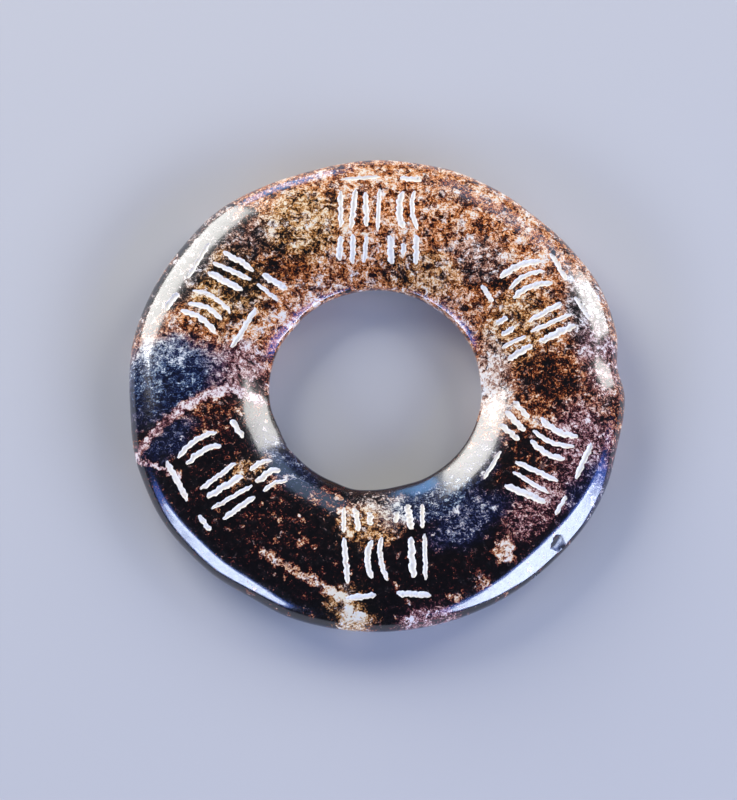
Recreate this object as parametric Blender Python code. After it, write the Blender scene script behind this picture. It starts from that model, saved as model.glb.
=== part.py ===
"""A polished stone ring disc, lying flat, with six panels of cut strokes round its face.

Metres, +Z up. The origin is on the underside, below the middle of the disc.
"""

import math

import bmesh
import bpy
from mathutils import Matrix, Vector

# The disc
OUTER_RADIUS = 0.0500
HOLE_RADIUS = 0.0213
THICKNESS = 0.0110
EDGE_HEIGHT = 0.0050  # how high the widest line of both edges runs
REST_BAND_WIDTH = 0.0090  # the flat band of the underside that the disc lies on
CROWN_POWER = 2.2  # 2 makes the outer shoulder an oval, more makes it flatter and fuller
SLOPE_DROP = 0.80  # how much of the crown's height the face loses on its gentler way to the hole
SLOPE_POWER = 2.5
LIP = 0.0004  # how far the upper edge of the hole is rounded over, inwards and down
CROWN_DIP = 0.0003  # hand grinding left the crown this much lower in two places
CROWN_DIP_ANGLE = 35.0

# Where the hand-ground edges stand out (+) or in (-): angle and reach in degrees, then metres
OUTER_EDGE_SHAPE = (
    (5.5, 8.0, -0.0011),
    (25.0, 16.0, 0.0006),
    (49.0, 10.0, -0.0003),
    (71.0, 9.0, 0.0002),
    (107.0, 20.0, -0.0006),
    (130.0, 12.0, 0.0004),
    (184.0, 16.0, -0.0007),
    (213.0, 12.0, 0.0003),
    (240.0, 11.0, -0.0005),
    (329.0, 16.0, 0.0003),
    (346.0, 10.0, -0.0003),
)
HOLE_EDGE_SHAPE = (
    (7.0, 14.0, -0.0002),
    (85.0, 34.0, 0.0003),
    (118.0, 14.0, 0.0001),
    (142.0, 12.0, -0.0003),
    (203.0, 14.0, -0.0003),
    (258.0, 12.0, 0.0003),
    (283.0, 16.0, -0.0003),
)

# Two long flats ground along the outer shoulder: angle and reach in degrees, then how deep, in metres
FACETS = (
    (316.0, 34.0, 0.00050),
    (227.0, 28.0, 0.00022),
)
FACET_SHARE = 0.90  # where across the band a flat is deepest

# Flake scars. A flattened ball bites each one: its angle in degrees, then how far its middle is above
# the edge line, its length, its height and how far it reaches past the edge, in metres
OUTER_CHIPS = (
    (317.5, 0.0075, 0.0140, 0.0140, 0.0041),
    (309.0, 0.0012, 0.0050, 0.0040, 0.0004),
    (172.5, 0.0000, 0.0036, 0.0050, 0.0006),
    (96.5, 0.0008, 0.0016, 0.0030, 0.0003),
    (2.0, -0.0004, 0.0040, 0.0050, 0.0004),
)
HOLE_CHIPS = (
    (216.0, 0.0010, 0.0034, 0.0040, 0.0004),
    (139.0, 0.0016, 0.0050, 0.0040, 0.0004),
)

# The cut strokes
STROKE_WIDTH = 0.0011
STROKE_DEPTH = 0.0004
# No two neighbours are cut alike
WIDTH_CYCLE = (1.0, 0.82, 1.25, 0.92, 1.1)
STRETCH_SHARES = (1.0, 0.88, 1.06, 0.94)
TILT_ANGLES = (0.0, 5.0, -3.0, 2.0, -5.0, 3.0, -2.0)  # how far askew each is cut, in degrees
PANEL_WIDTH = 0.0180
PANEL_HEIGHT = 0.0200
ROW_GAP = 0.0013
ROW_SHARES = (0.18, 0.50, 0.32)  # outer, middle and inner row
CELLS_PER_ROW = 7
DASH_TRIM = 0.0005  # kept clear at each end of a dash
SHORT_SHARE = 0.5  # how long a short stroke is beside a full one
STROKE_LEAN = 24.0
STROKE_BOW = 0.11  # how far a bowed stroke swings out, as a share of its length

# One panel is its angle round the disc and three rows of marks, read from the outer row inwards.
# | is upright, / leans, ( and ) are bowed, ' is short, and a run of - is one dash.
PANELS = (
    (27.0, ("--- ---", "))) |||", "-- ''||")),
    (89.0, ("---- --", "|||| ))", "||| |'|")),
    (149.0, ("-- ----", "((( |||", "---- ||")),
    (213.0, ("-- ----", "|||| ((", "(((  --")),
    (273.0, ("--- ---", "|| (( |", "||' '||")),
    (333.0, ("---- --", "((( |||", "/// ---")),
)

# How finely the shapes are drawn
ROUND_STEPS = 96
SHOULDER_POINTS = 6
SLOPE_POINTS = 4
LIP_POINTS = 2
UNDER_POINTS = 4  # on each side of the rest band
CHIP_FINENESS = 3
STROKE_SIDES = 6
# Along a stroke: place, then size
STROKE_SWELL = ((0.0, 0.42), (0.13, 0.88), (0.38, 1.0), (0.62, 1.0), (0.87, 0.88), (1.0, 0.42))

MIDDLE_RADIUS = (OUTER_RADIUS + HOLE_RADIUS) / 2
HALF_WIDTH = (OUTER_RADIUS - HOLE_RADIUS) / 2
REST_SHARE = REST_BAND_WIDTH / 2 / HALF_WIDTH
LIP_SHARE = 1.0 - LIP / HALF_WIDTH


def start_empty():
    for thing in list(bpy.data.objects):
        bpy.data.objects.remove(thing, do_unlink=True)


def stone_material(name, colour, roughness):
    material = bpy.data.materials.new(name)
    material.use_nodes = True
    shader = material.node_tree.nodes["Principled BSDF"]
    shader.inputs["Base Color"].default_value = (*colour, 1.0)
    shader.inputs["Roughness"].default_value = roughness
    shader.inputs["Metallic"].default_value = 0.0
    return material


def link(name, mesh, *materials):
    thing = bpy.data.objects.new(name, mesh)
    for material in materials:
        mesh.materials.append(material)
    bpy.context.scene.collection.objects.link(thing)
    return thing


def edge_offset(angle, shape):
    """How far an edge stands out at this angle, as a sum of smooth swells and dents."""
    total = 0.0
    for centre, reach, amount in shape:
        apart = abs((math.degrees(angle) - centre + 180.0) % 360.0 - 180.0)
        if apart < reach:
            total += amount * math.cos(math.pi / 2 * apart / reach) ** 2
    return total


def edges_at(angle):
    """The hole's and the outer edge's radius at this angle."""
    return (
        HOLE_RADIUS + edge_offset(angle, HOLE_EDGE_SHAPE),
        OUTER_RADIUS + edge_offset(angle, OUTER_EDGE_SHAPE),
    )


def slope(share):
    """Height of the face towards the hole, 1 on its crown, down to the rounded lip at a share of 1."""
    over = min(max(share - LIP_SHARE, 0.0) / (1.0 - LIP_SHARE), 1.0)
    lip_drop = LIP / (THICKNESS - EDGE_HEIGHT) * (1.0 - math.sqrt(1.0 - over * over))
    return 1.0 - SLOPE_DROP * share ** SLOPE_POWER - lip_drop


def bulge(share):
    """Height of the face, 1 on its crown, for a share of -1 at the hole to 1 at the outer edge."""
    if share < 0.0:
        return slope(-share)
    return (1.0 - min(share, 1.0) ** CROWN_POWER) ** (1.0 / CROWN_POWER)


def crown_at(angle):
    dip = 0.5 - 0.5 * math.cos(2.0 * (angle - math.radians(CROWN_DIP_ANGLE)))
    return THICKNESS - EDGE_HEIGHT - CROWN_DIP * dip


def top_height(angle, share):
    """Height of the top at a share across the band, lowered to the ground flats."""
    height = crown_at(angle) * bulge(share)
    ground = edge_offset(angle, FACETS)
    if ground > 0.0 and share > 0.0:
        steepness = FACET_SHARE ** (CROWN_POWER - 1.0) * bulge(FACET_SHARE) ** (1.0 - CROWN_POWER)
        flat = crown_at(angle) * (bulge(FACET_SHARE) - steepness * (share - FACET_SHARE)) - ground
        height = min(height, max(flat, 0.0))
    return EDGE_HEIGHT + height


def face_height(x, y):
    angle = math.atan2(y, x)
    inner, outer = edges_at(angle)
    share = (math.hypot(x, y) - (inner + outer) / 2) / ((outer - inner) / 2)
    return top_height(angle, share)


def face_normal(x, y):
    step = OUTER_RADIUS / 500
    rise_x = face_height(x + step, y) - face_height(x - step, y)
    rise_y = face_height(x, y + step) - face_height(x, y - step)
    return Vector((-rise_x, -rise_y, 2 * step)).normalized()


def section_points():
    """The section as (share across the band, height), from the hole over the top and back underneath."""
    shares = []
    for i in range(LIP_POINTS, 0, -1):
        shares.append(-LIP_SHARE - (1.0 - LIP_SHARE) * math.sin(math.pi / 2 * i / LIP_POINTS))
    for i in range(SLOPE_POINTS, 0, -1):
        shares.append(-LIP_SHARE * i / SLOPE_POINTS)
    for i in range(SHOULDER_POINTS + 1):
        shares.append(math.sin(math.pi / 2 * i / SHOULDER_POINTS) ** (2 / CROWN_POWER))
    # The wall of the hole stands upright between the lip and the widest line.
    top = [(-1.0, EDGE_HEIGHT)]
    for share in shares:
        top.append((share, EDGE_HEIGHT + (THICKNESS - EDGE_HEIGHT) * bulge(share)))
    # The underside bulges far enough past the floor for its flat band to have the stated width.
    depth = EDGE_HEIGHT / bulge(REST_SHARE)
    side = []
    last_turn = math.acos(REST_SHARE ** (CROWN_POWER / 2))
    for i in range(1, UNDER_POINTS):
        share = math.cos(last_turn * i / UNDER_POINTS) ** (2 / CROWN_POWER)
        side.append((share, EDGE_HEIGHT - depth * bulge(share)))
    side.append((REST_SHARE, 0.0))
    return top + side + [(-share, height) for share, height in reversed(side)]


def ring_mesh():
    """The section spun round the axis, then eased to the hand-ground edges and crown."""
    bm = bmesh.new()
    corners = [
        bm.verts.new((MIDDLE_RADIUS + HALF_WIDTH * share, 0.0, height))
        for share, height in section_points()
    ]
    sides = [bm.edges.new((a, b)) for a, b in zip(corners, corners[1:] + corners[:1])]
    bmesh.ops.spin(
        bm,
        geom=corners + sides,
        cent=(0.0, 0.0, 0.0),
        axis=(0.0, 0.0, 1.0),
        angle=2 * math.pi,
        steps=ROUND_STEPS,
        use_merge=True,
    )
    for vertex in bm.verts:
        x, y, z = vertex.co
        angle = math.atan2(y, x)
        share = (math.hypot(x, y) - MIDDLE_RADIUS) / HALF_WIDTH
        inner, outer = edges_at(angle)
        radius = (inner + outer) / 2 + share * (outer - inner) / 2
        if z > EDGE_HEIGHT:
            z = top_height(angle, share)
        vertex.co = (radius * math.cos(angle), radius * math.sin(angle), z)
    bmesh.ops.recalc_face_normals(bm, faces=bm.faces)
    mesh = bpy.data.meshes.new("ring_disc")
    bm.to_mesh(mesh)
    bm.free()
    mesh.shade_smooth()
    return mesh


def cutter_object(name, bm, material):
    """A hidden helper, which a Boolean takes away from the ring."""
    bmesh.ops.recalc_face_normals(bm, faces=bm.faces)
    mesh = bpy.data.meshes.new(name)
    bm.to_mesh(mesh)
    bm.free()
    cutter = link(name, mesh, material)
    cutter.hide_render = True
    cutter.display_type = "WIRE"
    return cutter


def add_chip(bm, angle, side, rise, length, height, depth):
    """A flattened ball that bites the edge on its outer side (+1) or its hole side (-1)."""
    inner, outer = edges_at(angle)
    reach = length / 2
    edge = outer if side > 0 else inner
    middle = Vector((edge + side * (reach - depth), 0.0, EDGE_HEIGHT + rise))
    size = Matrix.Diagonal((reach, length / 2, height / 2, 1.0))
    place = Matrix.Rotation(angle, 4, "Z") @ Matrix.Translation(middle)
    bmesh.ops.create_icosphere(bm, subdivisions=CHIP_FINENESS, radius=1.0, matrix=place @ size)


def chip_cutter(material):
    bm = bmesh.new()
    for side, chips in ((1, OUTER_CHIPS), (-1, HOLE_CHIPS)):
        for degrees, rise, length, height, depth in chips:
            add_chip(bm, math.radians(degrees), side, rise, length, height, depth)
    return cutter_object("chip_cutter", bm, material)


def mark_lines(rows):
    """Each mark of a panel as (start, end, bow) in the panel's own plane: X along the row, Y outwards."""
    cell = PANEL_WIDTH / CELLS_PER_ROW
    marked_height = PANEL_HEIGHT - ROW_GAP * (len(rows) - 1)
    top = PANEL_HEIGHT / 2
    for marks, share in zip(rows, ROW_SHARES):
        height = marked_height * share
        middle = top - height / 2
        column = 0
        while column < len(marks):
            mark = marks[column]
            run = 1
            while mark == "-" and column + run < len(marks) and marks[column + run] == "-":
                run += 1
            x = -PANEL_WIDTH / 2 + cell * (column + run / 2)
            if mark == "-":
                half = cell * run / 2 - DASH_TRIM
                yield Vector((x - half, middle)), Vector((x + half, middle)), 0.0
            elif mark != " ":
                half = height / 2 * (SHORT_SHARE if mark == "'" else 1.0)
                lean = math.radians(STROKE_LEAN) if mark == "/" else 0.0
                reach = Vector((math.sin(lean), math.cos(lean))) * half
                bow = STROKE_BOW * 2 * half * ((mark == ")") - (mark == "("))
                yield Vector((x, middle)) - reach, Vector((x, middle)) + reach, bow
            column += run
        top -= height + ROW_GAP


def hand_cut(start, end, count):
    """The same mark a little longer or shorter and a little askew."""
    middle = (start + end) / 2
    tilt = Matrix.Rotation(math.radians(TILT_ANGLES[count % len(TILT_ANGLES)]), 2)
    half = tilt @ ((end - start) / 2 * STRETCH_SHARES[count % len(STRETCH_SHARES)])
    return middle - half, middle + half


def add_stroke(bm, turn, start, end, bow, width, depth):
    """A tube that runs along the face just above it, so that its lower side cuts a rounded groove."""
    radius = (width * width / 4 + depth * depth) / (2 * depth)
    along = end - start
    across = Vector((-along.y, along.x)).normalized()

    def face_point(place):
        flat = start + along * place + across * bow * 4 * place * (1 - place)
        spot = turn @ Vector((flat.x, MIDDLE_RADIUS + flat.y, 0.0))
        spot.z = face_height(spot.x, spot.y)
        return spot

    rims = []
    for place, size in STROKE_SWELL:
        spot = face_point(place)
        heading = (face_point(place + 0.02) - face_point(place - 0.02)).normalized()
        up = face_normal(spot.x, spot.y)
        sideways = up.cross(heading).normalized()
        up = heading.cross(sideways)
        frame = Matrix((sideways, up, heading)).transposed().to_4x4()
        frame.translation = spot + up * (radius - depth) * size
        made = bmesh.ops.create_circle(
            bm, segments=STROKE_SIDES, radius=radius * size, matrix=frame
        )
        rims.append(list({edge for vertex in made["verts"] for edge in vertex.link_edges}))
    for first, second in zip(rims, rims[1:]):
        bmesh.ops.bridge_loops(bm, edges=first + second)
    bmesh.ops.edgenet_fill(bm, edges=rims[0])
    bmesh.ops.edgenet_fill(bm, edges=rims[-1])


def panel_cutter(number, degrees, rows, material):
    bm = bmesh.new()
    # A panel's own Y points outwards, which is +Y of the disc for a panel at 90 degrees.
    turn = Matrix.Rotation(math.radians(degrees - 90.0), 3, "Z")
    for i, (start, end, bow) in enumerate(mark_lines(rows)):
        size = WIDTH_CYCLE[(i + number) % len(WIDTH_CYCLE)]
        start, end = hand_cut(start, end, i + number)
        add_stroke(bm, turn, start, end, bow, STROKE_WIDTH * size, STROKE_DEPTH * size)
    return cutter_object(f"panel_cutter_{number}", bm, material)


def cut_away(ring, cutter):
    cut = ring.modifiers.new(cutter.name, "BOOLEAN")
    cut.operation = "DIFFERENCE"
    cut.solver = "EXACT"
    cut.material_mode = "TRANSFER"
    cut.object = cutter


def main():
    start_empty()
    stone = stone_material("mottled_stone", (0.10, 0.055, 0.035), 0.22)
    cut_stone = stone_material("cut_stone", (0.72, 0.68, 0.60), 0.75)
    ring = link("ring_disc", ring_mesh(), stone, cut_stone)
    cut_away(ring, chip_cutter(stone))
    for number, (degrees, rows) in enumerate(PANELS):
        cut_away(ring, panel_cutter(number, degrees, rows, cut_stone))


main()
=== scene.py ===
import math

import bmesh
import bpy
from mathutils import Matrix, Vector, noise


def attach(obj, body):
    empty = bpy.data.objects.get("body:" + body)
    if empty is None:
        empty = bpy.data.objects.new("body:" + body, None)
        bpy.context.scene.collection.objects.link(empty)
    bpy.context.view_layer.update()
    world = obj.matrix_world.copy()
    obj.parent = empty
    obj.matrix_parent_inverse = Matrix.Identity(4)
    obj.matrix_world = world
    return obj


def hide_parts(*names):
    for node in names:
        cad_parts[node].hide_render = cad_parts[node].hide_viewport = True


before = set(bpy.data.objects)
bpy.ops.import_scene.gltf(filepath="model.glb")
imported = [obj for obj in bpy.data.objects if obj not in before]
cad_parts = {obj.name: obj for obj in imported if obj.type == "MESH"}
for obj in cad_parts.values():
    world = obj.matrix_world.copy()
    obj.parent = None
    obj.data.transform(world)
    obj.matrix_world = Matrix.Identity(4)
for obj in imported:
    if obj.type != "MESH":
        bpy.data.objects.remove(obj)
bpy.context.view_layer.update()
print("stage: frame loaded")

# The polished ring. Lengths in metres, angles in degrees round from the photograph's right
ring = {
    "outerRadius": 0.0500,
    "holeRadius": 0.0213,
    "thickness": 0.0110,
    "edgeHeight": 0.0050,  # the widest line of both edges
    "restBandWidth": 0.0090,  # the flat band it lies on
    "crownPower": 2.2,
    "slopeDrop": 0.80,  # the gentler way down to the hole
    "slopePower": 2.5,
    "lip": 0.0004,
    "crownDip": 0.0003,
    "crownDipAngle": 35.0,
    "roundSteps": 600,
    "shoulderPoints": 28,
    "slopePoints": 24,
    "lipPoints": 6,
    "underPoints": 14,
    "waviness": 0.00005,  # how far hand grinding left the polished face from true
    "waves": ((95.0, 1.0), (260.0, 0.5)),  # how many to the metre, and the share of each kind
    "steadyHeight": 0.001,  # below this the waves fade, so that the band it lies on stays flat
    "wallHeight": 0.0005,  # half of the hole's upright wall
    "normalStep": 0.0001,
    "sharpAngle": 38.0,
    # where the edges stand out or in: angle, reach, amount
    "outerEdge": (
        (5.5, 8.0, -0.0011),
        (25.0, 16.0, 0.0006),
        (49.0, 10.0, -0.0003),
        (71.0, 9.0, 0.0002),
        (107.0, 20.0, -0.0006),
        (130.0, 12.0, 0.0004),
        (184.0, 16.0, -0.0007),
        (213.0, 12.0, 0.0003),
        (240.0, 11.0, -0.0005),
        (329.0, 16.0, 0.0003),
        (346.0, 10.0, -0.0003),
    ),
    "holeEdge": (
        (7.0, 14.0, -0.0002),
        (85.0, 34.0, 0.0003),
        (118.0, 14.0, 0.0001),
        (142.0, 12.0, -0.0003),
        (203.0, 14.0, -0.0003),
        (258.0, 12.0, 0.0003),
        (283.0, 16.0, -0.0003),
    ),
    # flats ground along the outer shoulder: angle, reach, depth
    "facets": ((316.0, 34.0, 0.0005), (227.0, 28.0, 0.00022)),
    "facetShare": 0.90,
}
mmPerMetre = 1000.0
middleRadius = (ring["outerRadius"] + ring["holeRadius"]) / 2
halfWidth = (ring["outerRadius"] - ring["holeRadius"]) / 2
restShare = ring["restBandWidth"] / 2 / halfWidth
lipShare = 1.0 - ring["lip"] / halfWidth


def edgeOffset(angle, shape):
    total = 0.0
    for centre, reach, amount in shape:
        apart = abs((math.degrees(angle) - centre + 180.0) % 360.0 - 180.0)
        if apart < reach:
            total += amount * math.cos(math.pi / 2 * apart / reach) ** 2
    return total


def edgesAt(angle):
    hole = ring["holeRadius"] + edgeOffset(angle, ring["holeEdge"])
    return hole, ring["outerRadius"] + edgeOffset(angle, ring["outerEdge"])


def slope(share):
    over = min(max(share - lipShare, 0.0) / (1.0 - lipShare), 1.0)
    lipDepth = ring["lip"] / (ring["thickness"] - ring["edgeHeight"])
    lipDrop = lipDepth * (1.0 - math.sqrt(1.0 - over * over))
    return 1.0 - ring["slopeDrop"] * share ** ring["slopePower"] - lipDrop


def bulge(share):
    if share < 0.0:
        return slope(-share)
    power = ring["crownPower"]
    return (1.0 - min(share, 1.0) ** power) ** (1.0 / power)


def crownAt(angle):
    dip = 0.5 - 0.5 * math.cos(2.0 * (angle - math.radians(ring["crownDipAngle"])))
    return ring["thickness"] - ring["edgeHeight"] - ring["crownDip"] * dip


def topHeight(angle, share):
    height = crownAt(angle) * bulge(share)
    ground = edgeOffset(angle, ring["facets"])
    if ground > 0.0 and share > 0.0:
        deepest, power = ring["facetShare"], ring["crownPower"]
        steepness = deepest ** (power - 1.0) * bulge(deepest) ** (1.0 - power)
        flat = crownAt(angle) * (bulge(deepest) - steepness * (share - deepest)) - ground
        height = min(height, max(flat, 0.0))
    return ring["edgeHeight"] + height


def faceHeight(x, y):
    angle = math.atan2(y, x)
    hole, outer = edgesAt(angle)
    share = (math.hypot(x, y) - (hole + outer) / 2) / ((outer - hole) / 2)
    return topHeight(angle, share)


def faceNormal(x, y):
    step = ring["normalStep"]
    riseX = faceHeight(x + step, y) - faceHeight(x - step, y)
    riseY = faceHeight(x, y + step) - faceHeight(x, y - step)
    return Vector((-riseX, -riseY, 2 * step)).normalized()


def sectionPoints():
    power, edge = ring["crownPower"], ring["edgeHeight"]
    shares = []
    for i in range(ring["lipPoints"], 0, -1):
        shares.append(-lipShare - (1.0 - lipShare) * math.sin(math.pi / 2 * i / ring["lipPoints"]))
    for i in range(ring["slopePoints"], 0, -1):
        shares.append(-lipShare * i / ring["slopePoints"])
    for i in range(ring["shoulderPoints"] + 1):
        shares.append(math.sin(math.pi / 2 * i / ring["shoulderPoints"]) ** (2 / power))
    top = [(-1.0, edge), (-1.0, edge + (ring["thickness"] - edge) * bulge(-1.0) / 2)]
    for share in shares:
        top.append((share, edge + (ring["thickness"] - edge) * bulge(share)))
    side = []
    lastTurn = math.acos(restShare ** (power / 2))
    for i in range(1, ring["underPoints"]):
        share = math.cos(lastTurn * i / ring["underPoints"]) ** (2 / power)
        side.append((share, edge - edge / bulge(restShare) * bulge(share)))
    side.append((restShare, 0.0))
    return top + side + [(-share, height) for share, height in reversed(side)]


def linkPiece(name, bm, *materials):
    mesh = bpy.data.meshes.new(name)
    bm.to_mesh(mesh)
    bm.free()
    for material in materials:
        mesh.materials.append(material)
    piece = bpy.data.objects.new(name, mesh)
    bpy.context.scene.collection.objects.link(piece)
    return piece


def ringShape():
    bm = bmesh.new()
    corners = [
        bm.verts.new((middleRadius + halfWidth * share, 0.0, height))
        for share, height in sectionPoints()
    ]
    sides = [bm.edges.new((a, b)) for a, b in zip(corners, corners[1:] + corners[:1])]
    bmesh.ops.spin(
        bm,
        geom=corners + sides,
        cent=(0.0, 0.0, 0.0),
        axis=(0.0, 0.0, 1.0),
        angle=2 * math.pi,
        steps=ring["roundSteps"],
        use_merge=True,
    )
    bmesh.ops.recalc_face_normals(bm, faces=bm.faces)
    for vertex in bm.verts:
        x, y, z = vertex.co
        angle = math.atan2(y, x)
        share = (math.hypot(x, y) - middleRadius) / halfWidth
        hole, outer = edgesAt(angle)
        radius = (hole + outer) / 2 + share * (outer - hole) / 2
        if z > ring["edgeHeight"] + ring["wallHeight"]:
            z = topHeight(angle, share)
        vertex.co = (radius * math.cos(angle), radius * math.sin(angle), z)
    bm.normal_update()
    moves = {}
    for vertex in bm.verts:
        steady = min(vertex.co.z / ring["steadyHeight"], 1.0)
        ground = sum(noise.noise(vertex.co * fineness) * part for fineness, part in ring["waves"])
        moves[vertex] = vertex.normal * ground * ring["waviness"] * steady
    for vertex, move in moves.items():
        vertex.co += move
    return bm


# Flake scars, each bitten by a flattened ball: its angle, the rise of its middle above the edge line,
# its length, its height and how far it reaches past the edge, in metres
chips = {
    "outer": (
        (317.5, 0.0075, 0.0140, 0.0140, 0.0041),
        (309.0, 0.0012, 0.0050, 0.0040, 0.0004),
        (172.5, 0.0000, 0.0036, 0.0050, 0.0006),
        (96.5, 0.0008, 0.0016, 0.0030, 0.0003),
        (2.0, -0.0004, 0.0040, 0.0050, 0.0004),
    ),
    "hole": (
        (216.0, 0.0010, 0.0034, 0.0040, 0.0004),
        (139.0, 0.0016, 0.0050, 0.0040, 0.0004),
    ),
    "fineness": 5,
    "unevenness": 0.00022,  # how far the scars are from true
    "lumps": 4.0,  # how many from a ball's middle to its skin
}


def addChip(bm, angle, side, rise, length, height, depth):
    hole, outer = edgesAt(angle)
    reach = length / 2
    edge = outer if side > 0 else hole
    middle = Vector((edge + side * (reach - depth), 0.0, ring["edgeHeight"] + rise))
    size = Matrix.Diagonal((reach, length / 2, height / 2, 1.0))
    place = Matrix.Rotation(angle, 4, "Z") @ Matrix.Translation(middle) @ size
    made = bmesh.ops.create_icosphere(bm, subdivisions=chips["fineness"], radius=1.0)
    for vertex in made["verts"]:
        rough = noise.noise(vertex.co * chips["lumps"] + middle * mmPerMetre)
        vertex.co *= 1.0 + chips["unevenness"] / reach * rough
        vertex.co = place @ vertex.co


def chipCutters():
    bm = bmesh.new()
    for side, scars in ((1, chips["outer"]), (-1, chips["hole"])):
        for degrees, rise, length, height, depth in scars:
            addChip(bm, math.radians(degrees), side, rise, length, height, depth)
    return bm


# The cut strokes, row by row from the outer edge inwards.
# | is upright, / leans, ( and ) are bowed, ' is short, and a run of - is one dash
strokes = {
    "width": 0.0011,
    "depth": 0.0003,
    "widthCycle": (1.0, 0.82, 1.25, 0.92, 1.1),  # no two neighbours are cut alike
    "stretchShares": (1.0, 0.88, 1.06, 0.94),
    "tiltAngles": (0.0, 5.0, -3.0, 2.0, -5.0, 3.0, -2.0),
    "panelWidth": 0.0180,
    "panelHeight": 0.0200,
    "rowGap": 0.0013,
    "rowShares": (0.18, 0.50, 0.32),
    "cellsPerRow": 7,
    "dashTrim": 0.0005,
    "shortShare": 0.5,
    "lean": 24.0,
    "bow": 0.11,
    "sides": 16,
    "steps": 34,
    "endSize": 0.36,
    "endShare": 0.16,  # how much of its length each rounded end takes
    "wobble": 0.40,  # how uneven the tool left each stroke
    "swellWaves": 2000.0,  # to the metre
    "driftWaves": 1100.0,
    "drift": 0.6,  # how far it strays sideways, as a share of its width times the wobble
    "headingStep": 0.02,
    "panels": (
        (27.0, ("--- ---", "))) |||", "-- ''||")),
        (89.0, ("---- --", "|||| ))", "||| |'|")),
        (149.0, ("-- ----", "((( |||", "---- ||")),
        (213.0, ("-- ----", "|||| ((", "(((  --")),
        (273.0, ("--- ---", "|| (( |", "||' '||")),
        (333.0, ("---- --", "((( |||", "/// ---")),
    ),
}


def markLines(rows):
    cell = strokes["panelWidth"] / strokes["cellsPerRow"]
    markedHeight = strokes["panelHeight"] - strokes["rowGap"] * (len(rows) - 1)
    top = strokes["panelHeight"] / 2
    for marks, share in zip(rows, strokes["rowShares"]):
        height = markedHeight * share
        middle = top - height / 2
        column = 0
        while column < len(marks):
            mark = marks[column]
            run = 1
            while mark == "-" and column + run < len(marks) and marks[column + run] == "-":
                run += 1
            x = -strokes["panelWidth"] / 2 + cell * (column + run / 2)
            if mark == "-":
                half = cell * run / 2 - strokes["dashTrim"]
                yield Vector((x - half, middle)), Vector((x + half, middle)), 0.0
            elif mark != " ":
                half = height / 2 * (strokes["shortShare"] if mark == "'" else 1.0)
                lean = math.radians(strokes["lean"]) if mark == "/" else 0.0
                reach = Vector((math.sin(lean), math.cos(lean))) * half
                bow = strokes["bow"] * 2 * half * ((mark == ")") - (mark == "("))
                yield Vector((x, middle)) - reach, Vector((x, middle)) + reach, bow
            column += run
        top -= height + strokes["rowGap"]


def strokeSize(place):
    fromEnd = min(place, 1.0 - place) / strokes["endShare"]
    if fromEnd >= 1.0:
        return 1.0
    return strokes["endSize"] + (1.0 - strokes["endSize"]) * math.sin(math.pi / 2 * fromEnd)


def handCut(start, end, count):
    middle = (start + end) / 2
    tilts, stretches = strokes["tiltAngles"], strokes["stretchShares"]
    tilt = Matrix.Rotation(math.radians(tilts[count % len(tilts)]), 2)
    half = tilt @ ((end - start) / 2 * stretches[count % len(stretches)])
    return middle - half, middle + half


def addStroke(bm, turn, start, end, bow, width, depth):
    radius = (width * width / 4 + depth * depth) / (2 * depth)
    along = end - start
    across = Vector((-along.y, along.x)).normalized()
    seed = Vector((start.x * 900.0, start.y * 900.0, turn[0][0] * 9.0))  # its own for each stroke
    step = strokes["headingStep"]

    def facePoint(place):
        flat = start + along * place + across * bow * 4 * place * (1 - place)
        spot = turn @ Vector((flat.x, middleRadius + flat.y, 0.0))
        spot.z = faceHeight(spot.x, spot.y)
        return spot

    rims = []
    for i in range(strokes["steps"] + 1):
        place = i / strokes["steps"]
        run = place * along.length
        shake = noise.noise(seed + Vector((run * strokes["swellWaves"], 0.0, 0.0)))
        size = strokeSize(place) * (1.0 + strokes["wobble"] * shake)
        spot = facePoint(place)
        heading = (facePoint(place + step) - facePoint(place - step)).normalized()
        up = faceNormal(spot.x, spot.y)
        sideways = up.cross(heading).normalized()
        up = heading.cross(sideways)
        shift = noise.noise(seed + Vector((0.0, run * strokes["driftWaves"], 5.0)))
        place4 = Matrix((sideways, up, heading)).transposed().to_4x4()
        stray = sideways * width * strokes["drift"] * strokes["wobble"] * shift
        place4.translation = spot + up * (radius - depth) * size + stray
        made = bmesh.ops.create_circle(
            bm, segments=strokes["sides"], radius=radius * size, matrix=place4
        )
        rims.append(list({edge for vertex in made["verts"] for edge in vertex.link_edges}))
    for first, second in zip(rims, rims[1:]):
        bmesh.ops.bridge_loops(bm, edges=first + second)
    bmesh.ops.edgenet_fill(bm, edges=rims[0])
    bmesh.ops.edgenet_fill(bm, edges=rims[-1])


def strokeCutters(number, degrees, rows):
    bm = bmesh.new()
    # a panel's own Y points outwards, which is +Y of the disc for a panel at 90 degrees
    turn = Matrix.Rotation(math.radians(degrees - 90.0), 3, "Z")
    for i, (start, end, bow) in enumerate(markLines(rows)):
        size = strokes["widthCycle"][(i + number) % len(strokes["widthCycle"])]
        start, end = handCut(start, end, i + number)
        addStroke(bm, turn, start, end, bow, strokes["width"] * size, strokes["depth"] * size)
    return bm


def cutAway(piece, bm, material):
    bmesh.ops.recalc_face_normals(bm, faces=bm.faces)
    cutter = linkPiece("cutter", bm, material)
    cut = piece.modifiers.new("cut", "BOOLEAN")
    cut.operation = "DIFFERENCE"
    cut.solver = "EXACT"
    cut.material_mode = "TRANSFER"
    cut.object = cutter
    return cutter


def settle(piece, cutters):
    # the cuts become part of the mesh, with crisp lips
    graph = bpy.context.evaluated_depsgraph_get()
    cutMesh = bpy.data.meshes.new_from_object(piece.evaluated_get(graph))
    piece.modifiers.clear()
    piece.data = cutMesh
    for cutter in cutters:
        bpy.data.objects.remove(cutter)
    cutMesh.shade_smooth()
    cutMesh.set_sharp_from_angle(angle=math.radians(ring["sharpAngle"]))


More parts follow.
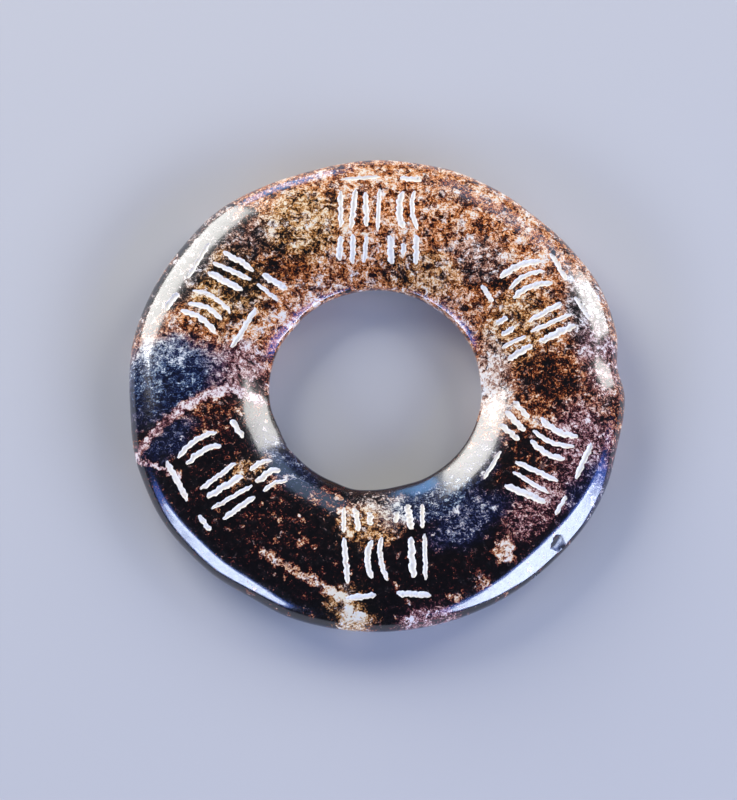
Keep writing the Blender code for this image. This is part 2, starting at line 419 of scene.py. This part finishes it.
# Shader maths: a Wire is a socket that adds, subtracts, multiplies and divides
class Wire:
    def __init__(self, sheet, socket):
        self.sheet = sheet
        self.socket = socket

    def __add__(self, other):
        return self.sheet.maths("ADD", self, other)

    def __sub__(self, other):
        return self.sheet.maths("SUBTRACT", self, other)

    def __mul__(self, other):
        return self.sheet.maths("MULTIPLY", self, other)

    def __truediv__(self, other):
        return self.sheet.maths("DIVIDE", self, other)

    def __rsub__(self, other):
        return self.sheet.maths("SUBTRACT", other, self)

    __radd__ = __add__
    __rmul__ = __mul__


class Sheet:
    def __init__(self, name):
        self.material = bpy.data.materials.new(name)
        self.material.use_nodes = True
        self.tree = self.material.node_tree
        self.tree.nodes.clear()

    # settings go in first, then sockets by name or number; the first output comes back unless named
    def add(self, kind, settings, sockets, output=None):
        node = self.tree.nodes.new(kind)
        for name, value in settings.items():
            if name == "stops":
                self.setStops(node.color_ramp, value)
            else:
                setattr(node, name, value)
        for key, value in sockets.items():
            if isinstance(key, int):
                socket = node.inputs[key]
            else:
                socket = next(s for s in node.inputs if s.enabled and s.name == key)
            if isinstance(value, Wire):
                self.tree.links.new(value.socket, socket)
            else:
                socket.default_value = value
        if output:
            return Wire(self, node.outputs[output])
        shown = [s for s in node.outputs if s.enabled]
        return Wire(self, shown[0]) if shown else node

    def setStops(self, ramp, stops):
        while len(ramp.elements) < len(stops):
            ramp.elements.new(0.5)
        for element, (position, colour) in zip(ramp.elements, stops):
            element.position = position
            element.color = (*colour, 1.0) if isinstance(colour, tuple) else (colour,) * 3 + (1.0,)

    def maths(self, operation, *values, clamp=False):
        settings = {"operation": operation, "use_clamp": clamp}
        return self.add("ShaderNodeMath", settings, dict(enumerate(values)))

    def vector(self, operation, *values):
        return self.add("ShaderNodeVectorMath", {"operation": operation}, dict(enumerate(values)))

    def scaled(self, vector, amount):
        return self.add("ShaderNodeVectorMath", {"operation": "SCALE"}, {0: vector, 3: amount})

    # look: how many grains to the millimetre, detail, roughness
    def grain(self, at, look, output=None):
        sockets = {"Vector": at, **dict(zip(("Scale", "Detail", "Roughness"), look))}
        return self.add("ShaderNodeTexNoise", {}, sockets, output)

    def cells(self, at, scale, output=None):
        return self.add("ShaderNodeTexVoronoi", {}, {"Vector": at, "Scale": scale}, output)

    def smooth(self, value, low, high, atLow=0.0, atHigh=1.0):
        sockets = {"Value": value, "From Min": low, "From Max": high, "To Min": atLow, "To Max": atHigh}
        return self.add("ShaderNodeMapRange", {"interpolation_type": "SMOOTHSTEP"}, sockets)

    def ramp(self, value, stops):
        return self.add("ShaderNodeValToRGB", {"stops": stops}, {0: value})

    def blend(self, mask, first, second):
        first, second = ((*c, 1.0) if isinstance(c, tuple) else c for c in (first, second))
        sockets = {"Factor": mask, "A": first, "B": second}
        return self.add("ShaderNodeMix", {"data_type": "RGBA"}, sockets)

    # a soft-edged patch: its middle in the photograph's pixels, half length and half width in mm,
    # turn in degrees
    def patch(self, at, px, py, length, width, turn):
        sockets = {
            "Vector": at,
            "Location": onDisc(px, py),
            "Rotation": (0.0, 0.0, math.radians(turn)),
            "Scale": (length, width, stoneLook["patchDepth"]),
        }
        local = self.add("ShaderNodeMapping", {"vector_type": "TEXTURE"}, sockets)
        return self.smooth(self.vector("LENGTH", local), *stoneLook["patchEdge"])

    # a thin line through points of the photograph, its half width in mm
    def vein(self, at, points, width):
        nearest = None
        at = self.vector("MULTIPLY", at, (1.0, 1.0, 0.0))
        spots = [Vector(onDisc(px, py)) for px, py in points]
        for start, end in zip(spots, spots[1:]):
            along = end - start
            offset = self.vector("SUBTRACT", at, start)
            share = self.vector("DOT_PRODUCT", offset, along / along.length_squared)
            share = self.maths("ADD", share, 0.0, clamp=True)
            reached = self.scaled(tuple(along), share)
            away = self.vector("LENGTH", self.vector("SUBTRACT", offset, reached))
            nearest = away if nearest is None else self.maths("MINIMUM", nearest, away)
        outside, inside = stoneLook["veinEdge"]
        return self.smooth(nearest, width * outside, width * inside)


# where the disc's middle stands in the photograph, and its scale
photoLook = {
    "middle": (375.9, 395.7),
    "mmPerPixel": 0.2005,
    "rise": 2.0,  # how much the face's height lifts it there, in mm
    "squash": 0.9425,  # the disc's height there beside its width
}


def onDisc(px, py):
    # millimetres on the disc's face from the photograph's pixels
    across = (px - photoLook["middle"][0]) * photoLook["mmPerPixel"]
    upwards = (photoLook["middle"][1] - py) * photoLook["mmPerPixel"] - photoLook["rise"]
    return across, upwards / photoLook["squash"], 0.0


stoneLook = {
    "rustStops": (
        (0.00, (0.004, 0.003, 0.003)),
        (0.26, (0.016, 0.006, 0.004)),
        (0.37, (0.085, 0.016, 0.006)),
        (0.48, (0.34, 0.065, 0.012)),
        (0.60, (0.68, 0.19, 0.036)),
        (0.73, (0.92, 0.39, 0.12)),
        (0.86, (0.99, 0.65, 0.36)),
        (0.98, (1.0, 0.90, 0.76)),
    ),
    "greyStops": (
        (0.00, (0.004, 0.004, 0.005)),
        (0.34, (0.016, 0.013, 0.014)),
        (0.50, (0.10, 0.075, 0.068)),
        (0.62, (0.30, 0.24, 0.21)),
        (0.74, (0.62, 0.53, 0.47)),
        (0.88, (0.94, 0.91, 0.87)),
    ),
    "maroonStops": (
        (0.00, (0.003, 0.002, 0.003)),
        (0.36, (0.008, 0.003, 0.004)),
        (0.48, (0.055, 0.010, 0.009)),
        (0.58, (0.22, 0.030, 0.024)),
        (0.69, (0.58, 0.20, 0.065)),
        (0.82, (0.90, 0.56, 0.28)),
        (0.96, (0.97, 0.86, 0.70)),
    ),
    "roseStops": (
        (0.00, (0.004, 0.003, 0.005)),
        (0.34, (0.028, 0.007, 0.011)),
        (0.48, (0.16, 0.045, 0.050)),
        (0.62, (0.44, 0.19, 0.18)),
        (0.76, (0.76, 0.51, 0.45)),
        (0.90, (0.95, 0.85, 0.78)),
    ),
    # slate blue: partly the stone's own slate at the left, partly painted blue sky reflection by the
    # hole's rim and the lower right edge
    "slateAndReflectionStops": (
        (0.00, (0.003, 0.004, 0.012)),
        (0.30, (0.006, 0.010, 0.042)),
        (0.44, (0.024, 0.042, 0.115)),
        (0.58, (0.11, 0.17, 0.25)),
        (0.74, (0.40, 0.47, 0.50)),
        (0.92, (0.86, 0.86, 0.83)),
    ),
    "goldStops": (
        (0.00, (0.004, 0.004, 0.003)),
        (0.33, (0.018, 0.013, 0.008)),
        (0.47, (0.15, 0.056, 0.014)),
        (0.59, (0.50, 0.20, 0.035)),
        (0.73, (0.84, 0.46, 0.13)),
        (0.90, (0.98, 0.85, 0.58)),
    ),
    # how pale the stone is round the disc, from the left by the bottom, right and top
    "toneRound": (
        (0.000, 0.36),
        (0.045, 0.24),
        (0.110, 0.12),
        (0.200, 0.12),
        (0.300, 0.12),
        (0.380, 0.16),
        (0.440, 0.40),
        (0.500, 0.49),
        (0.560, 0.56),
        (0.640, 0.60),
        (0.700, 0.59),
        (0.800, 0.59),
        (0.880, 0.54),
        (0.930, 0.52),
        (0.965, 0.46),
        (1.000, 0.36),
    ),
    "maroonRound": (
        (0.00, 0.6),
        (0.05, 1.0),
        (0.38, 1.0),
        (0.47, 0.55),
        (0.53, 0.35),
        (0.60, 0.0),
        (0.94, 0.0),
        (1.00, 0.6),
    ),
    # pixel, half length, half width, turn and how much paler or darker
    "tonePatches": {
        "topCream": (380, 182, 8.0, 3.0, 0, 0.10),
        "upperLeftEdge": (183, 268, 16.0, 4.0, 56, -0.22),
        "holeBottomPale": (385, 500, 6.0, 2.6, 0, 0.30),
        "topLeftDark": (300, 252, 6.0, 4.4, 30, -0.13),
        "upperLeftOrange": (292, 222, 9.0, 6.0, 30, 0.04),
        "upperLeftEdgeDark": (236, 222, 5.0, 3.0, 45, -0.20),
        "upperLeftDark": (255, 270, 9.0, 6.0, 20, -0.20),
        "underTopDark": (395, 272, 8.0, 2.5, 0, -0.16),
        "upperRightDark": (491, 284, 7.0, 5.0, -35, -0.22),
        "rightPale": (545, 255, 8.0, 4.0, -45, 0.08),
        "rightDark": (543, 380, 7.5, 5.5, -10, -0.20),
        "rightEdgePale": (600, 345, 3.0, 7.0, 10, 0.04),
        "rightLowerDark": (520, 440, 5.0, 6.0, -20, -0.16),
        "holeRightPale": (495, 396, 4.0, 7.5, 5, 0.34),
        "holeLeftPale": (245, 362, 5.5, 7.0, 0, 0.14),
        "lowerRightPink": (530, 512, 9.0, 4.6, 45, 0.34),
        "rightLowerPink": (585, 440, 5.0, 8.0, 10, 0.08),
        "lowerRightOrange": (500, 551, 2.4, 2.4, 0, 0.62),
        "lowerRightSpot": (480, 578, 1.8, 1.6, 0, 0.46),
        "bottomSpot": (454, 590, 1.6, 1.4, 0, 0.50),
        "rightOrange": (530, 424, 3.4, 1.8, -30, 0.42),
        "leftOrangeSpot": (305, 541, 1.8, 1.4, 0, 0.44),
        "bottomRightEdge": (430, 613, 7.0, 2.4, 12, 0.44),
        "bottomCream": (348, 598, 4.8, 3.2, -45, 0.50),
        "bottomCreamEdge": (357, 620, 4.4, 3.0, 0, 0.50),
        "panelCream": (380, 526, 6.4, 4.6, 30, 0.42),
        "panelLeftOrange": (347, 522, 1.8, 4.0, 0, 0.46),
        "lowerLeftHalo": (250, 474, 5.2, 2.2, 35, 0.54),
        "lowerLeftHaloEnd": (283, 484, 2.6, 1.4, 40, 0.46),
        "lowerLeftMaroon": (218, 420, 8.0, 6.0, 20, 0.14),
        "lowerLeftFlecks": (278, 530, 9.0, 5.0, 0, 0.12),
        # paler at the left: partly slate stone, partly painted blue reflection
        "slatePale": (160, 358, 7.0, 4.2, 10, 0.22),
        "slateDark": (165, 405, 8.0, 4.0, 20, -0.10),
        # painted blue reflection: paler along the hole's lower left rim
        "holeLeftSteel": (285, 455, 7.0, 3.4, -48, 0.22),
        # painted blue reflection: paler along the hole's bottom rim
        "holeBottomBlue": (425, 505, 9.0, 3.4, 22, 0.26),
        "holeBottomMottle": (340, 503, 8.0, 3.4, -14, 0.26),
        # painted blue reflection: paler below the hole's lower right
        "bottomRightBlue": (462, 520, 9.0, 3.6, 35, 0.29),
        # painted blue reflection: paler along the hole's lower right rim
        "holeRightBlue": (468, 466, 8.0, 3.0, 52, 0.14),
        "holeUpperLeft": (284, 313, 8.0, 3.0, 50, 0.14),
    },
    "goldPatches": {
        "upperLeft": (300, 228, 9.0, 8.0, 30, 0.8),
        "leftPanel": (222, 290, 9.0, 9.0, 40, 0.9),
        "underTop": (425, 275, 8.0, 4.0, -10, 0.55),
        "rightPanel": (520, 330, 7.0, 8.0, -30, 0.6),
        "bottomCream": (350, 604, 5.0, 5.0, 0, 0.7),
        "panelCream": (372, 525, 8.0, 5.0, 20, 0.6),
        "lowerLeftHalo": (252, 474, 6.0, 3.4, 35, 0.6),
    },
    "greyPatches": {
        "upperLeftEdge": (183, 268, 17.0, 4.6, 56, 0.9),
        "upperLeftDark": (245, 235, 6.0, 6.0, 0, 0.5),
        "rightEdge": (588, 322, 4.4, 10.0, 15, 0.9),
        "upperRight": (482, 262, 6.0, 4.0, -30, 0.5),
        "holeRight": (494, 380, 3.6, 9.0, 5, 0.5),
        "holeBottom": (380, 500, 7.0, 2.6, 0, 0.7),
    },
    "rosePatches": {
        "rightEdge": (598, 365, 4.0, 9.0, 10, 0.8),
        "rightLower": (580, 450, 7.0, 9.0, 10, 0.9),
        "lowerRight": (535, 510, 9.0, 5.0, 45, 0.7),
        "holeLeft": (240, 375, 6.0, 6.0, 0, 0.8),
        "bottomEdge": (430, 613, 8.0, 3.0, 12, 0.8),
    },
    # slate blue zones: at the left, partly the stone's own slate and partly painted blue reflection; by
    # the hole's rim, below it and at the lower right edge, painted blue sky reflection
    "slateAndReflectionPatches": {
        "left": (170, 374, 11.0, 7.0, 4, 0.95),
        "leftMiddle": (158, 402, 8.0, 5.0, 25, 0.85),
        "leftLower": (170, 444, 6.5, 3.6, 38, 0.75),
        "holeLeft": (288, 458, 8.5, 4.0, -48, 0.85),
        "holeBottom": (428, 504, 10.0, 3.4, 22, 0.85),
        "bottomRight": (466, 522, 9.0, 4.4, 35, 0.75),
        "holeRight": (472, 470, 8.0, 3.2, 52, 0.7),
        "lowerRightEdge": (588, 498, 8.0, 4.4, 60, 0.7),
    },
    # points in pixels, half width in mm and how much paler
    "creamVein": (((266, 552), (300, 572), (325, 584), (345, 594)), 0.9, 0.66),
    "pinkVein": (
        ((136, 456), (164, 430), (186, 412), (210, 400), (236, 394), (262, 402)), 1.0, 0.40,
    ),
    "shortVein": (((137, 457), (160, 467), (184, 480)), 0.55, 0.50),
    "patchEdge": (1.35, 0.55),  # where a patch begins and is full, from its middle
    "patchDepth": 1000.0,  # patches go right through the stone
    "veinEdge": (1.5, 0.4),
    # how borders wander: wanders to the millimetre, detail, roughness, then how far in mm
    "wideDrift": ((0.22, 3.0, 0.6), 7.0),
    "closeDrift": ((0.7, 3.0, 0.6), 3.0),
    # the grains: how many to the millimetre, detail, roughness
    "clumps": (0.40, 2.0, 0.5),
    "crumbs": (1.15, 4.0, 0.62),
    "dust": (3.4, 2.0, 0.6),
    "threads": (0.95, 3.0, 0.55),
    "gaps": (0.80, 3.0, 0.55),
    # combed streaks for the slate zones: partly the stone's grain, partly painted streaky blue
    # reflection
    "streaksAndReflection": (1.4, 4.0, 0.65),
    "greySpots": (0.55, 4.0, 0.7),
    "embers": (0.34, 3.0, 0.6),
    "fleckCells": 0.42,
    "threadEdge": (0.030, 0.004),
    "combTurn": 12.0,
    "combStretch": (0.30, 1.7, 1.0),
    "fleckEdge": (0.42, 0.16),
    "fleckChoice": (0.50, 0.75),
    "greyEdge": (0.52, 0.63),
    "greyAmount": 0.70,
    "emberEdge": (0.53, 0.64),
    "emberAmount": 0.75,
    "maroonShade": 0.03,  # how much darker a maroon zone is
    # how strongly each grain shows, and how much less of it there is in a maroon zone or in a zone of
    # slate and painted blue reflection
    "clumpAmounts": (1.4, 0.7),
    "crumbAmounts": (2.3, 1.0),
    "dustAmount": 0.9,
    "threadAmounts": (0.26, 0.17),
    "gapAmount": 0.22,
    "fleckAmount": 0.46,
    "streakAmount": 2.2,
    # the polish
    "ior": 1.62,
    "coat": 0.7,
    "coatIor": 1.6,
    "duller": (-0.15, 0.2),  # crumbs between these take the polish less and less
    "dullness": (0.8, 1.5),
    "bump": {"Strength": 0.35, "Distance": 0.00008},
    "bumpShare": 0.6,
}


def stoneMaterial(name, shine, coatRoughness):
    sheet = Sheet(name)
    place = sheet.add("ShaderNodeTexCoord", {}, {}, "Object")
    mm = sheet.scaled(place, mmPerMetre)

    def drifted(look, amount):
        drift = sheet.vector("SUBTRACT", sheet.grain(mm, look, "Color"), (0.5, 0.5, 0.5))
        return sheet.vector("ADD", mm, sheet.scaled(drift, amount))

    def patches(kind, total):
        for px, py, length, width, turn, amount in stoneLook[kind].values():
            total = total + sheet.patch(wide, px, py, length, width, turn) * amount
        return total

    # a grain that swings both ways from nothing
    def swing(at, kind):
        return sheet.grain(at, stoneLook[kind]) - 0.5

    # thin wandering lines, where a grain crosses its middle
    def lines(kind, output=None):
        crossing = sheet.maths("ABSOLUTE", sheet.grain(close, stoneLook[kind], output) - 0.5)
        return sheet.smooth(crossing, *stoneLook["threadEdge"])

    # zones of tone and colour, with wandering borders
    wide, close = drifted(*stoneLook["wideDrift"]), drifted(*stoneLook["closeDrift"])
    along = sheet.vector("DOT_PRODUCT", wide, (1.0, 0.0, 0.0))
    up = sheet.vector("DOT_PRODUCT", wide, (0.0, 1.0, 0.0))
    roundDisc = sheet.maths("ARCTAN2", up, along) / (2 * math.pi) + 0.5
    maroon = sheet.ramp(roundDisc, stoneLook["maroonRound"])
    tone = patches("tonePatches", sheet.ramp(roundDisc, stoneLook["toneRound"]))
    tone = tone - maroon * stoneLook["maroonShade"]
    veins = {}
    for kind in ("creamVein", "pinkVein", "shortVein"):
        points, width, amount = stoneLook[kind]
        veins[kind] = sheet.vein(close, points, width)
        tone = tone + veins[kind] * amount
    pinkVeins = veins["pinkVein"] + veins["shortVein"]
    gold = patches("goldPatches", 0.0)
    # slate blue zones: partly the stone's own slate, partly painted blue sky reflection
    slateAndReflection = sheet.maths("MINIMUM", patches("slateAndReflectionPatches", 0.0), 1.0)
    slateAndReflection = sheet.maths("SUBTRACT", slateAndReflection, pinkVeins, clamp=True)
    rose = patches("rosePatches", pinkVeins)

    # the grain, from clumps to dust
    crumbs, dust = swing(close, "crumbs"), swing(mm, "dust")
    # combed streaks, shown only in the slate zones: partly the stone's grain, partly painted streaky
    # blue reflection
    turn = (0.0, 0.0, math.radians(stoneLook["combTurn"]))
    combed = {"Vector": close, "Rotation": turn, "Scale": stoneLook["combStretch"]}
    streaksAndReflection = swing(sheet.add("ShaderNodeMapping", {}, combed), "streaksAndReflection")
    fleckAt = sheet.cells(close, stoneLook["fleckCells"], "Distance")
    fleckColour = sheet.cells(close, stoneLook["fleckCells"], "Color")
    fleckKind = sheet.vector("DOT_PRODUCT", fleckColour, (1.0, 0.0, 0.0))
    flecks = sheet.smooth(fleckAt, *stoneLook["fleckEdge"])
    flecks = flecks * sheet.smooth(fleckKind, *stoneLook["fleckChoice"]) * maroon
    most, less = stoneLook["clumpAmounts"]
    level = tone + swing(mm, "clumps") * (most - maroon * less)
    most, less = stoneLook["crumbAmounts"]
    level = level + crumbs * (most - slateAndReflection * less) + dust * stoneLook["dustAmount"]
    most, less = stoneLook["threadAmounts"]
    level = level + lines("threads") * (most - maroon * less)
    level = level - lines("gaps", "Color") * stoneLook["gapAmount"]
    level = level + flecks * stoneLook["fleckAmount"] + streaksAndReflection * slateAndReflection * stoneLook["streakAmount"]

    greySpots = sheet.smooth(sheet.grain(close, stoneLook["greySpots"]), *stoneLook["greyEdge"])
    grey = patches("greyPatches", greySpots * stoneLook["greyAmount"])
    embers = sheet.smooth(sheet.grain(close, stoneLook["embers"]), *stoneLook["emberEdge"])
    colour = sheet.ramp(level, stoneLook["rustStops"])
    zones = {
        "maroonStops": sheet.maths("MAXIMUM", maroon, embers * stoneLook["emberAmount"]),
        "goldStops": gold,
        "greyStops": grey,
        "roseStops": rose,
        # slate blue, partly painted blue sky reflection
        "slateAndReflectionStops": slateAndReflection,
    }
    for stops, mask in zones.items():
        colour = sheet.blend(mask, colour, sheet.ramp(level, stoneLook[stops]))

    least, most = stoneLook["dullness"]
    roughness = sheet.smooth(crumbs, *stoneLook["duller"], shine * least, shine * most)
    height = (crumbs + dust) * stoneLook["bumpShare"]
    normal = sheet.add("ShaderNodeBump", {}, {**stoneLook["bump"], "Height": height})
    shader = sheet.add(
        "ShaderNodeBsdfPrincipled",
        {},
        {
            "Base Color": colour,
            "Roughness": roughness,
            "Normal": normal,
            "IOR": stoneLook["ior"],
            "Coat Weight": stoneLook["coat"],
            "Coat Roughness": coatRoughness,
            "Coat IOR": stoneLook["coatIor"],
        },
    )
    sheet.add("ShaderNodeOutputMaterial", {}, {"Surface": shader})
    return sheet.material


# the pale matt powder in the strokes
cutStoneLook = {
    "powder": (2.2, 4.0, 0.7),
    "gaps": (0.9, 2.0, 0.5),
    "gapShare": 0.4,
    "stops": (
        (0.30, (0.50, 0.36, 0.24)),
        (0.38, (0.90, 0.78, 0.63)),
        (0.45, (0.99, 0.92, 0.80)),
        (0.70, (1.00, 0.96, 0.88)),
    ),
    "bump": {"Strength": 0.6, "Distance": 0.00008},
    "roughness": 0.82,
}


def cutStoneMaterial(name):
    sheet = Sheet(name)
    mm = sheet.scaled(sheet.add("ShaderNodeTexCoord", {}, {}, "Object"), mmPerMetre)
    powder = sheet.grain(mm, cutStoneLook["powder"])
    gaps = sheet.grain(mm, cutStoneLook["gaps"])
    gapShare = cutStoneLook["gapShare"]
    colour = sheet.ramp(powder * (1.0 - gapShare) + gaps * gapShare, cutStoneLook["stops"])
    normal = sheet.add("ShaderNodeBump", {}, {**cutStoneLook["bump"], "Height": powder})
    shader = sheet.add(
        "ShaderNodeBsdfPrincipled",
        {},
        {"Base Color": colour, "Roughness": cutStoneLook["roughness"], "Normal": normal},
    )
    sheet.add("ShaderNodeOutputMaterial", {}, {"Surface": shader})
    return sheet.material


# the roughness of the stone and of its polish, on the face and in the scars
polished = stoneMaterial("polishedStone", 0.17, 0.085)
broken = stoneMaterial("brokenStone", 0.30, 0.28)
cutStone = cutStoneMaterial("cutStone")

disc = linkPiece("polishedRing", ringShape(), polished, broken, cutStone)
print("stage: ring shaped,", len(disc.data.polygons), "faces")
cutters = [cutAway(disc, chipCutters(), broken)]
for number, (degrees, rows) in enumerate(strokes["panels"]):
    cutters.append(cutAway(disc, strokeCutters(number, degrees, rows), cutStone))
settle(disc, cutters)
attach(disc, "root")
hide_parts("ring_disc")
print("stage: strokes and chips cut,", len(disc.data.polygons), "faces")

# The floor, the lights and the camera
floorLook = {"size": 4.0, "height": -0.00003, "colour": (0.56, 0.55, 0.54), "roughness": 0.85}
lightLooks = {
    "upperLeftWindow": {
        "azimuth": 132.0, "elevation": 24.0, "distance": 1.0,
        "width": 0.66, "height": 0.62, "radiance": 8.0, "colour": (1.0, 0.985, 0.96),
    },
    "rightWindow": {
        "azimuth": 38.0, "elevation": 26.0, "distance": 1.0,
        "width": 0.36, "height": 0.56, "radiance": 7.0, "colour": (1.0, 0.985, 0.97),
    },
    "lowerLeftCool": {
        "azimuth": 216.0, "elevation": 20.0, "distance": 1.0,
        "width": 0.75, "height": 0.15, "radiance": 11.0, "colour": (0.86, 0.94, 1.0),
    },
    "lowerRightCool": {
        "azimuth": 324.0, "elevation": 21.0, "distance": 1.0,
        "width": 1.00, "height": 0.21, "radiance": 11.0, "colour": (0.86, 0.94, 1.0),
    },
    "lowerLeftDeep": {
        "azimuth": 214.0, "elevation": 21.0, "distance": 1.1,
        "width": 1.10, "height": 0.36, "radiance": 3.4, "colour": (0.08, 0.22, 1.0),
    },
    "lowerRightDeep": {
        "azimuth": 328.0, "elevation": 23.0, "distance": 1.1,
        "width": 1.40, "height": 0.52, "radiance": 3.4, "colour": (0.08, 0.22, 1.0),
    },
    "backSky": {
        "azimuth": 105.0, "elevation": 10.0, "distance": 1.0,
        "width": 0.22, "height": 0.32, "radiance": 4.5, "colour": (0.25, 0.52, 1.0),
    },
    "steelSky": {
        "azimuth": 66.0, "elevation": 30.0, "distance": 1.0,
        "width": 0.45, "height": 0.40, "radiance": 1.2, "colour": (0.45, 0.66, 1.0),
    },
}
worldColour = (0.030, 0.034, 0.042)
cameraLook = {
    "azimuth": -90.0,
    "elevation": 70.5,
    "distance": 0.575,
    "lens": 129.05,
    "sensor": 36.0,
    "clipStart": 0.01,
    "shift": (-0.00875, -0.0139),
    "aim": (0.0, 0.0, 0.0055),
}


def direction(azimuth, elevation):
    a, e = math.radians(azimuth), math.radians(elevation)
    return Vector((math.cos(e) * math.cos(a), math.cos(e) * math.sin(a), math.sin(e)))


def aimAt(thing, target):
    away = thing.location - Vector(target)
    thing.rotation_euler = away.to_track_quat("Z", "Y").to_euler()


def makeFloor():
    bm = bmesh.new()
    bmesh.ops.create_grid(bm, x_segments=1, y_segments=1, size=floorLook["size"] / 2)
    bmesh.ops.translate(bm, verts=bm.verts, vec=(0.0, 0.0, floorLook["height"]))
    sheet = Sheet("paleFloor")
    shader = sheet.add(
        "ShaderNodeBsdfPrincipled",
        {},
        {"Base Color": (*floorLook["colour"], 1.0), "Roughness": floorLook["roughness"]},
    )
    sheet.add("ShaderNodeOutputMaterial", {}, {"Surface": shader})
    linkPiece("floor", bm, sheet.material)


def makeLight(name, look):
    data = bpy.data.lights.new(name, "AREA")
    data.shape = "RECTANGLE"
    data.size, data.size_y = look["width"], look["height"]
    data.energy = look["radiance"] * look["width"] * look["height"] * math.pi
    data.color = look["colour"]
    light = bpy.data.objects.new(name, data)
    light.location = direction(look["azimuth"], look["elevation"]) * look["distance"]
    aimAt(light, (0.0, 0.0, 0.0))
    bpy.context.scene.collection.objects.link(light)


def makeWorld():
    world = bpy.data.worlds.new("studio")
    world.use_nodes = True
    world.node_tree.nodes["Background"].inputs["Color"].default_value = (*worldColour, 1.0)
    bpy.context.scene.world = world


def makeCamera():
    data = bpy.data.cameras.new("camera")
    data.lens = cameraLook["lens"]
    data.sensor_width = cameraLook["sensor"]
    data.shift_x, data.shift_y = cameraLook["shift"]
    data.clip_start = cameraLook["clipStart"]
    camera = bpy.data.objects.new("camera", data)
    away = direction(cameraLook["azimuth"], cameraLook["elevation"]) * cameraLook["distance"]
    camera.location = Vector(cameraLook["aim"]) + away
    aimAt(camera, cameraLook["aim"])
    bpy.context.scene.collection.objects.link(camera)
    bpy.context.scene.camera = camera


makeFloor()
for name, look in lightLooks.items():
    makeLight(name, look)
makeWorld()
makeCamera()
bpy.context.scene.view_settings.view_transform = "Standard"
print("stage: floor, lights and camera placed")
